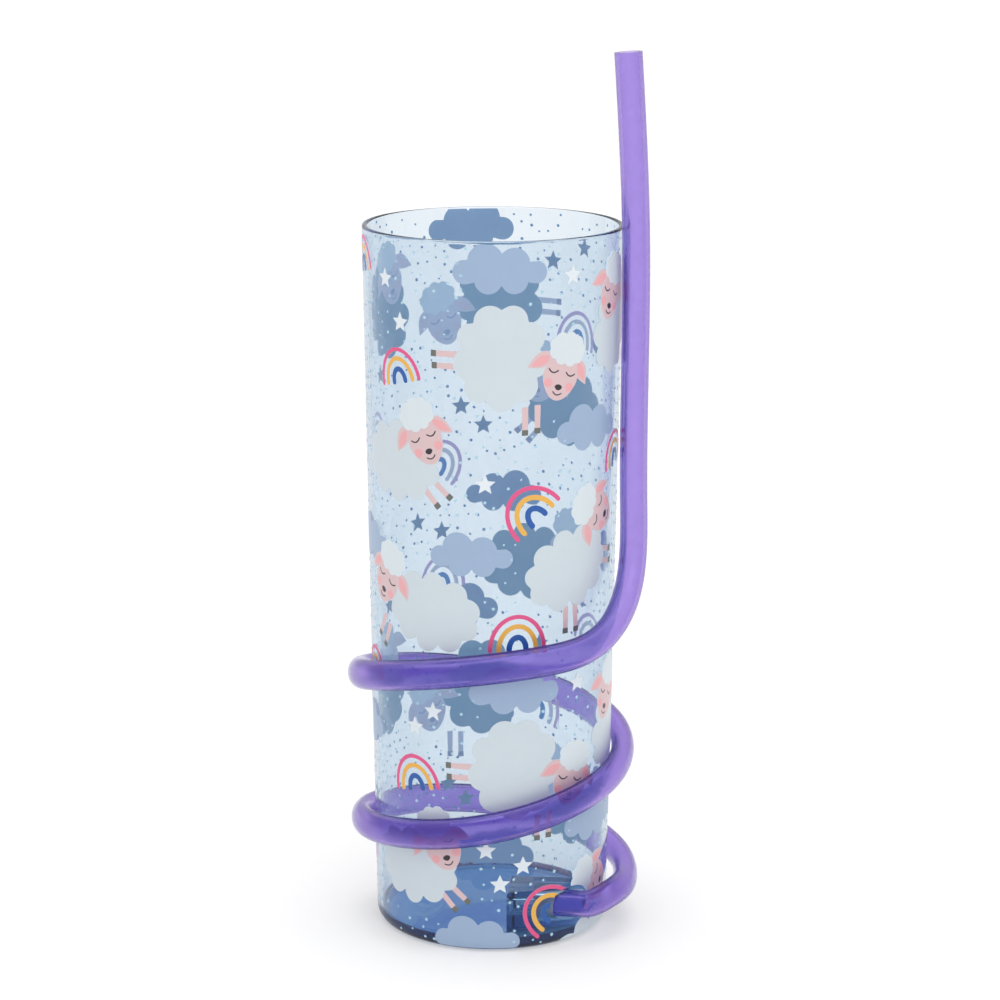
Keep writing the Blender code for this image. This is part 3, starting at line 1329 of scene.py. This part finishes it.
@dataclass
class ScreenPrint:
    """The printed pattern: a thin slab of ink for each shape, wrapped onto the wall.

    Each slab goes a little way into the wall and stands a little proud of the film, so that it
    shows from both sides, and slabs of a higher level cover lower ones on both sides. The oval
    hole matches where the port's bar meets the face, and grid, reaches, gaps and margins are in
    millimetres.
    """

    sizes: CupSizes = SIZES
    grid: float = 1.2
    # Painted glow on the print's inside faces, as a share of their colour.
    glow: float = 0.74
    proud: float = 0.05 * MM
    sunk: float = 0.02 * MM
    step: float = 0.015 * MM
    hole_angle: float = -47.75
    hole_half_width: float = 6.83 * MM
    hole_half_height: float = 4.9 * MM
    port_reach: float = 23.0
    port_clear: float = 8.0
    dots: int = 1150
    tries_per_dot: int = 14
    dot_gap: float = 2.4
    dot_sizes: tuple[float, float] = (0.75, 1.35)
    foot_margin: float = 1.0
    top_margin: float = 0.8
    seed: int = 11

    def finish(self, ink: Ink) -> list[bpy.types.Material]:
        """The two finishes of an ink.

        Args:
            ink: which ink.

        Returns:
            How it looks from outside, and from inside the cup with painted shade and painted glow.
        """
        # The inside finish is painted shade in the back colour, with the painted glow.
        name, front, back = ink.value
        return [
            InkFinish(f"ink_{name}", linear(*front)).make(),
            InkFinish(f"ink_{name}_back", linear(*back), self.glow, 0.5).make(),
        ]

    def slab(self, shape: Slab) -> bpy.types.Object:
        """Models one flat slab, in millimetres across and metres thick.

        Args:
            shape: what to model.

        Returns:
            The slab, front up.
        """
        bpy.ops.mesh.primitive_circle_add(
            vertices=len(shape.outline), radius=1.0, fill_type="NGON"
        )
        flat = bpy.context.object
        for vertex, (x, y) in zip(flat.data.vertices, shape.outline):
            vertex.co = (x, y, 0.0)
        xs, ys = zip(*shape.outline)
        back = -self.sunk - self.step * shape.level
        front = self.proud + self.step * shape.level
        with editing(flat):
            bpy.ops.mesh.quads_convert_to_tris(ngon_method="BEAUTY")
            for values, way in ((xs, (1.0, 0.0, 0.0)), (ys, (0.0, 1.0, 0.0))):
                low, high = min(values), max(values)
                for index in range(1, math.ceil((high - low) / self.grid)):
                    place = low + self.grid * index
                    bpy.ops.mesh.select_all(action="SELECT")
                    bpy.ops.mesh.bisect(plane_co=Vector(way) * place, plane_no=way)
            bpy.ops.mesh.select_all(action="SELECT")
            bpy.ops.transform.translate(value=(0.0, 0.0, back))
            bpy.ops.mesh.extrude_region_move(
                TRANSFORM_OT_translate={"value": (0.0, 0.0, front - back)}
            )
            bpy.ops.mesh.select_all(action="SELECT")
            bpy.ops.mesh.normals_make_consistent(inside=False)
        for material in self.finishes[shape.ink]:
            flat.data.materials.append(material)
        return flat

    def trim(self, obj: bpy.types.Object, height: float, above: bool) -> None:
        """Cuts a flat piece off at one of the film's edges.

        Args:
            obj: the piece, with its height along y.
            height: where it is cut.
            above: whether what is above goes, or what is below.
        """
        with editing(obj):
            bpy.ops.mesh.bisect(
                plane_co=(0.0, height, 0.0),
                plane_no=(0.0, 1.0, 0.0),
                use_fill=True,
                clear_outer=above,
                clear_inner=not above,
                threshold=1e-7,
            )

    def wrap(self, obj: bpy.types.Object, angle: float) -> None:
        """Bends a flat piece onto the wall.

        Args:
            obj: the piece, with its way round along x, its height along y and its thickness z.
            angle: angle on the wall of x 0.
        """
        mesh = obj.data
        flat = np.empty(len(mesh.vertices) * 3)
        mesh.vertices.foreach_get("co", flat)
        across, along, proud = flat.reshape(-1, 3).T
        turn = math.radians(angle) + across / self.sizes.face_radius(along)
        radius, height = self.sizes.on_face(along, proud)
        wrapped = np.column_stack([radius * np.cos(turn), radius * np.sin(turn), height])
        mesh.vertices.foreach_set("co", wrapped.ravel())
        mesh.update()

    def near_port(self, where: Placed) -> bool:
        """Whether a motif may reach the hole for the port.

        Args:
            where: the motif's place.

        Returns:
            Whether it is near enough.
        """
        s = self.sizes
        across = math.radians(where.angle - s.port_angle) * s.base_radius / MM
        return math.hypot(across, where.height - s.port_height / MM) < self.port_reach

    def port_plug(self, angle: float) -> bpy.types.Object:
        """The port's oval hole as a plug for a piece that is still flat.

        Args:
            angle: angle on the wall of the piece's x 0.

        Returns:
            The plug.
        """
        s = self.sizes
        bpy.ops.mesh.primitive_cylinder_add(vertices=60, radius=1.0, depth=self.grid * MM)
        plug = bpy.context.object
        across = math.radians(self.hole_angle - angle) * s.face_radius(s.port_height)
        plug.data.transform(
            Matrix.Translation((across, s.port_height, 0.0))
            @ Matrix.Diagonal((self.hole_half_width, self.hole_half_height, 1.0, 1.0))
        )
        return plug

    def stamp(self, motif: Motif, where: Placed) -> None:
        """Prints one copy of a motif.

        Args:
            motif: which motif.
            where: its place.
        """
        s = self.sizes
        hand = -1.0 if where.flip else 1.0
        placing = (
            Matrix.Translation((0.0, where.height * MM, 0.0))
            @ Matrix.Rotation(math.radians(where.tilt), 4, "Z")
            @ Matrix.Diagonal((hand * where.size * MM, where.size * MM, 1.0, 1.0))
        )
        for ink, master in self.masters[motif]:
            copy = master.copy()
            copy.data = master.data.copy()
            bpy.context.scene.collection.objects.link(copy)
            copy.data.transform(placing)
            if where.flip:
                copy.data.flip_normals()
            heights = [v.co.y for v in copy.data.vertices]
            if min(heights) > s.film_top or max(heights) < s.film_foot:
                bpy.data.objects.remove(copy, do_unlink=True)
                continue
            if max(heights) > s.film_top:
                self.trim(copy, s.film_top, True)
            if min(heights) < s.film_foot:
                self.trim(copy, s.film_foot, False)
            if self.near_port(where) and motif is not Motif.DOT:
                cut(copy, self.port_plug(where.angle))
            if len(copy.data.polygons) == 0:
                bpy.data.objects.remove(copy, do_unlink=True)
                continue
            facing = [p.normal.z > 0.5 for p in copy.data.polygons]
            for polygon, front in zip(copy.data.polygons, facing):
                polygon.material_index = 0 if front else 1
            self.wrap(copy, where.angle)
            self.printed[ink].append(copy)

    def stamp_lamb(self, lamb: Lamb) -> None:
        """Prints a lamb's legs, body and head.

        Args:
            lamb: the lamb.
        """
        radius = self.sizes.face_radius(lamb.height * MM) / MM

        def at(x: float, y: float, tilt: float, flip: bool = False) -> Placed:
            """A place at an offset from the lamb's middle."""
            angle = lamb.angle + math.degrees(x / radius)
            return Placed(angle, lamb.height + y, tilt, 1.0, flip)

        parts = [(Motif.LEG, at(*leg)) for leg in lamb.legs]
        parts += [
            (lamb.body, at(0.0, 0.0, lamb.turn)),
            (Motif.HEAD, at(*lamb.head, lamb.flip)),
        ]
        for motif, where in parts:
            self.stamp(motif, where)
            self.covered.append((where.angle, where.height, CLEAR[motif]))

    def stamp_dots(self) -> None:
        """Scatters the small dots over what the motifs leave clear."""
        chance = random.Random(self.seed)
        s = self.sizes
        placed: list[tuple[float, float]] = []
        hole = (s.port_angle, s.port_height / MM, self.port_clear)
        low, top = s.film_foot / MM + self.foot_margin, s.film_top / MM - self.top_margin
        for _ in range(self.dots * self.tries_per_dot):
            if len(placed) >= self.dots:
                break
            angle = chance.uniform(-180.0, 180.0)
            height = chance.uniform(low, top)
            size = chance.uniform(*self.dot_sizes)
            radius = s.face_radius(height * MM) / MM

            def apart(other_angle: float, other_height: float) -> float:
                """Distance along the wall to another place."""
                turn = (angle - other_angle + 180.0) % 360.0 - 180.0
                return math.hypot(math.radians(turn) * radius, height - other_height)

            if any(apart(a, h) < reach for a, h, reach in [*self.covered, hole]):
                continue
            if any(apart(a, h) < self.dot_gap for a, h in placed):
                continue
            placed.append((angle, height))
            self.stamp(Motif.DOT, Placed(angle, height, chance.uniform(0.0, 45.0), size))

    def gather(self, ink: Ink) -> bpy.types.Object:
        """Joins all of one ink into a piece and dresses it.

        Args:
            ink: which ink.

        Returns:
            The piece.
        """
        copies = self.printed[ink]
        alone(copies[0])
        for copy in copies:
            copy.select_set(True)
        bpy.ops.object.join()
        return finish_piece(copies[0], f"print_{ink.value[0]}", [], angle=25.0)

    def build(self) -> list[bpy.types.Object]:
        """The whole print, dressed.

        Returns:
            One piece for each ink.
        """
        self.covered: list[tuple[float, float, float]] = []
        self.printed: dict[Ink, list[bpy.types.Object]] = {ink: [] for ink in Ink}
        self.finishes = {ink: self.finish(ink) for ink in Ink}
        self.masters = {
            motif: [(shape.ink, self.slab(shape)) for shape in MOTIF_SLABS[motif]]
            for motif in Motif
        }
        for lamb in LAMBS:
            self.stamp_lamb(lamb)
        for motif, places in PLACES.items():
            for where in places:
                self.stamp(motif, where)
                self.covered.append((where.angle, where.height, CLEAR[motif] * where.size))
        self.stamp_dots()
        for masters in self.masters.values():
            for _, master in masters:
                bpy.data.objects.remove(master, do_unlink=True)
        return [self.gather(ink) for ink in Ink if self.printed[ink]]


# Straw


# Angle round the wall, height in millimetres, and extra distance from the wall in millimetres.
WINDING = (
    (-35.0, 11.6, 1.9),
    (-18.0, 11.6, 2.0),
    (0.0, 12.4, 1.6),
    (25.0, 14.2, 0.5),
    (60.0, 17.3, 0.0),
    (110.0, 21.0, 0.0),
    (180.0, 26.6, 0.0),
    (235.0, 31.1, 0.0),
    (270.0, 34.7, 0.0),
    (305.0, 39.3, 0.0),
    (360.0, 46.0, 0.0),
    (450.0, 55.4, 0.0),
    (540.0, 65.7, 0.0),
    (585.0, 71.8, 0.0),
    (630.0, 76.6, 0.3),
    (660.0, 78.9, 1.7),
    (680.0, 83.0, 2.9),
    (695.0, 91.2, 2.8),
)


def smooth_through(knots: np.ndarray, values: np.ndarray, at: np.ndarray) -> np.ndarray:
    """Natural cubic spline through values at knots.

    Args:
        knots: rising places of the values.
        values: one row for each knot.
        at: where to read the curve.

    Returns:
        One row for each place in at.
    """
    knots = np.asarray(knots, dtype=float)
    values = np.asarray(values, dtype=float).reshape(len(knots), -1)
    gaps = np.diff(knots)
    slopes = np.diff(values, axis=0) / gaps[:, None]
    count = len(knots)
    matrix = np.eye(count)
    right = np.zeros_like(values)
    for i in range(1, count - 1):
        matrix[i, i - 1 : i + 2] = gaps[i - 1], 2.0 * (gaps[i - 1] + gaps[i]), gaps[i]
        right[i] = 6.0 * (slopes[i] - slopes[i - 1])
    bends = np.linalg.solve(matrix, right)
    span = np.clip(np.searchsorted(knots, at, side="right") - 1, 0, count - 2)
    width = gaps[span][:, None]
    after = (at - knots[span])[:, None]
    before = (knots[span + 1] - at)[:, None]
    rows = (bends[span] * before**3 + bends[span + 1] * after**3) / (6.0 * width)
    rows += (values[span] / width - bends[span] * width / 6.0) * before
    rows += (values[span + 1] / width - bends[span + 1] * width / 6.0) * after
    return rows


def around(angle: float, radius: float, height: float) -> np.ndarray:
    """A point at an angle in degrees, radius and height."""
    turn = math.radians(angle)
    return np.array([radius * math.cos(turn), radius * math.sin(turn), height])


def ease(value: np.ndarray) -> np.ndarray:
    """A smooth step from 0 to 1."""
    value = np.clip(value, 0.0, 1.0)
    return value * value * (3.0 - 2.0 * value)


@dataclass
class Straw:
    """The formed tube straw, from its port round the wall to its open top."""

    sizes: CupSizes = SIZES
    radius: float = 3.5 * MM
    wall: float = 1.0 * MM
    half_height: float = 3.95 * MM
    clearance: float = 0.3 * MM
    above_rim: float = 43.5 * MM
    tip_lean: float = 2.4 * MM
    riser_angle: float = 704.3
    riser_start: float = 114.0 * MM
    riser_standoff: float = 1.4 * MM
    winding_step: float = 22.5
    round_run: float = 30.0 * MM
    past: float = 4.0 * MM
    spacing: float = 1.25 * MM
    side_detail: int = 10

    def half_depth(self) -> float:
        """Half depth of the flattened section, which keeps the round tube's own perimeter."""
        return math.sqrt(2.0 * self.radius**2 - self.half_height**2)

    def film_radius(self, height: float) -> float:
        """Radius of the film's face at a height."""
        return self.sizes.cad_radius(height) + self.sizes.film_offset

    def route(self) -> tuple[np.ndarray, np.ndarray, float, float]:
        """The straw's centreline.

        Returns:
            Points, their distances along it, and where the flattened stretch starts and ends.
        """
        s = self.sizes
        port = s.port_frame()
        depth = s.port_depth
        stations = (-depth, -depth / 2, 0.0, self.past)
        inside = [np.array(port @ Vector((0.0, 0.0, t))) for t in stations]
        angles, heights, standoffs = np.array(WINDING).T
        steps = math.ceil((angles[-1] - angles[0]) / self.winding_step)
        at = np.linspace(angles[0], angles[-1], steps + 1)
        rows = smooth_through(angles, np.column_stack([heights, standoffs]) * MM, at)
        closest = self.clearance + self.half_depth()
        wound = [
            around(a, self.film_radius(h) + closest + max(off, 0.0), h)
            for a, (h, off) in zip(at, rows)
        ]
        start, close = self.riser_start, self.clearance + self.radius
        low_radius = self.film_radius(start) + close + self.riser_standoff
        low = around(self.riser_angle, low_radius, start)
        rim = around(self.riser_angle, self.film_radius(s.height) + close, s.height)
        tip = rim + np.array([-self.tip_lean, 0.0, self.above_rim])
        points = np.array([*inside, *wound, low, rim, tip])
        chords = np.linalg.norm(np.diff(points, axis=0), axis=1)
        knots = np.concatenate([[0.0], np.cumsum(chords)])
        places = np.linspace(0.0, knots[-1], math.ceil(knots[-1] / self.spacing) + 1)
        return smooth_through(knots, points, places), places, knots[len(inside)], knots[-4]

    def flatten(self, obj: bpy.types.Object) -> None:
        """Makes the wound stretch of the tube oval, taller than it is deep.

        Args:
            obj: the round tube, ring after ring of vertices.
        """
        centres, at, start, end = self.route()
        ways = np.gradient(centres, at, axis=0)
        ways /= np.linalg.norm(ways, axis=1)[:, None]
        flatness = ease((at - start) / self.round_run) * ease((end - at) / self.round_run)
        across = 1.0 + (self.half_depth() / self.radius - 1.0) * flatness
        along = 1.0 + (self.half_height / self.radius - 1.0) * flatness
        out = centres * (1.0, 1.0, 0.0)
        out -= ways * np.sum(out * ways, axis=1)[:, None]
        out /= np.linalg.norm(out, axis=1)[:, None]
        upright = np.cross(ways, out)
        places = np.empty(len(obj.data.vertices) * 3)
        obj.data.vertices.foreach_get("co", places)
        rings = places.reshape(len(centres), -1, 3)
        offsets = rings - centres[:, None, :]
        outward = np.sum(offsets * out[:, None, :], axis=2) * across[:, None]
        upward = np.sum(offsets * upright[:, None, :], axis=2) * along[:, None]
        rings = (
            centres[:, None, :]
            + outward[..., None] * out[:, None, :]
            + upward[..., None] * upright[:, None, :]
        )
        obj.data.vertices.foreach_set("co", rings.ravel())

    def build(self) -> bpy.types.Object:
        """The straw, dressed.

        Returns:
            The straw.
        """
        centres = self.route()[0]
        path = bpy.data.curves.new("straw_path", "CURVE")
        path.dimensions = "3D"
        path.bevel_depth = self.radius
        path.bevel_resolution = self.side_detail
        line = path.splines.new("POLY")
        line.points.add(len(centres) - 1)
        line.points.foreach_set("co", np.column_stack([centres, np.ones(len(centres))]).ravel())
        tube = bpy.data.objects.new("straw_path", path)
        bpy.context.scene.collection.objects.link(tube)
        alone(tube)
        bpy.ops.object.convert(target="MESH")
        tube = bpy.context.object
        self.flatten(tube)
        with editing(tube):
            bpy.ops.mesh.normals_make_consistent(inside=False)
        apply(tube, "SOLIDIFY", thickness=self.wall, offset=-1.0, use_even_offset=True)
        return finish_piece(tube, "straw_tube", [StrawPlastic().make()], "straw")


@dataclass
class PortSeal:
    """The ring of sealant between the straw and its socket."""

    sizes: CupSizes = SIZES
    inner: float = 3.7 * MM
    thickness: float = 0.4 * MM
    length: float = 5.2 * MM
    rounding: float = 0.12 * MM

    def build(self) -> bpy.types.Object:
        """The ring, dressed.

        Returns:
            The ring.
        """
        s = self.sizes
        ring = s.along_port(self.inner + self.thickness, -s.port_depth, self.length - s.port_depth)
        with editing(ring):
            pick(ring, Pick.FACES, lambda face: len(face.verts) > 8)
            bpy.ops.mesh.delete(type="FACE")
        apply(ring, "SOLIDIFY", thickness=self.thickness, offset=-1.0, use_even_offset=True)
        apply(ring, "BEVEL", width=self.rounding, segments=2, limit_method="ANGLE")
        return finish_piece(ring, "seal_ring", [Sealant().make()], "port_seal")


# Studio


@dataclass
class Studio:
    """Pale floor, soft lights and the camera."""

    lens: float = 108.31
    place: Triple = (1.94 * MM, -750.33 * MM, 285.62 * MM)
    pitch: float = 13.069
    roll: float = 0.145
    floor_half: float = 14.0
    surround: float = 0.72
    overhead: float = 1.1
    overhead_spread: float = 50.0
    key_place: Triple = (0.3, -1.1, 0.9)
    key_target: Triple = (0.0, 0.0, 0.1)
    key_size: float = 0.6
    key_power: float = 2.4
    bounces: int = 24
    clear_bounces: int = 32

    def floor(self) -> None:
        """The sweep that the cup stands on."""
        bpy.ops.mesh.primitive_plane_add(size=2.0 * self.floor_half, location=(0.0, 0.0, 0.0))
        sweep = bpy.context.object
        sweep.name = "studio_floor"
        sweep.data.materials.append(StudioFloor().make())

    def lights(self) -> None:
        """The broad light from above, and a soft square one that faces the cup."""
        sky = bpy.data.lights.new("overhead", "SUN")
        sky.energy = self.overhead
        sky.angle = math.radians(self.overhead_spread)
        lamp = bpy.data.lights.new("key_light", "AREA")
        lamp.shape = "SQUARE"
        lamp.size = self.key_size
        lamp.energy = self.key_power
        key = bpy.data.objects.new("key_light", lamp)
        key.location = self.key_place
        way = Vector(self.key_target) - Vector(self.key_place)
        key.rotation_euler = way.to_track_quat("-Z", "Y").to_euler()
        for obj in (bpy.data.objects.new("overhead", sky), key):
            bpy.context.scene.collection.objects.link(obj)

    def camera(self) -> None:
        """The camera, level but for a small roll, looking a little down."""
        pitch, roll = math.radians(self.pitch), math.radians(self.roll)
        forward = Vector((0.0, math.cos(pitch), -math.sin(pitch)))
        level_up = Vector((0.0, math.sin(pitch), math.cos(pitch)))
        right = math.cos(roll) * Vector((1.0, 0.0, 0.0)) + math.sin(roll) * level_up
        up = math.cos(roll) * level_up - math.sin(roll) * Vector((1.0, 0.0, 0.0))
        data = bpy.data.cameras.new("camera")
        data.lens = self.lens
        data.sensor_width = 36.0
        data.clip_start = 0.01
        data.clip_end = 100.0
        obj = bpy.data.objects.new("camera", data)
        turned = Matrix((right, up, -forward)).transposed().to_4x4()
        obj.matrix_world = Matrix.Translation(self.place) @ turned
        bpy.context.scene.collection.objects.link(obj)
        bpy.context.scene.camera = obj

    def build(self) -> None:
        """Sets the floor, lights, surround and camera."""
        scene = bpy.context.scene
        world = bpy.data.worlds.new("studio")
        world.use_nodes = True
        background = world.node_tree.nodes["Background"]
        background.inputs["Color"].default_value = WHITE
        background.inputs["Strength"].default_value = self.surround
        scene.world = world
        self.floor()
        self.lights()
        self.camera()
        scene.view_settings.view_transform = "Standard"
        scene.cycles.max_bounces = self.bounces
        scene.cycles.transmission_bounces = self.bounces
        scene.cycles.transparent_max_bounces = self.clear_bounces
        log.info("studio: floor, lights and camera")


def main() -> None:
    """Builds every sub-assembly in order."""
    logging.basicConfig(level=logging.INFO, format="%(message)s")
    Studio().build()
    Tumbler().build()
    FilmSheet().build()
    ScreenPrint().build()
    Straw().build()
    PortSeal().build()


if __name__ == "__main__":
    main()
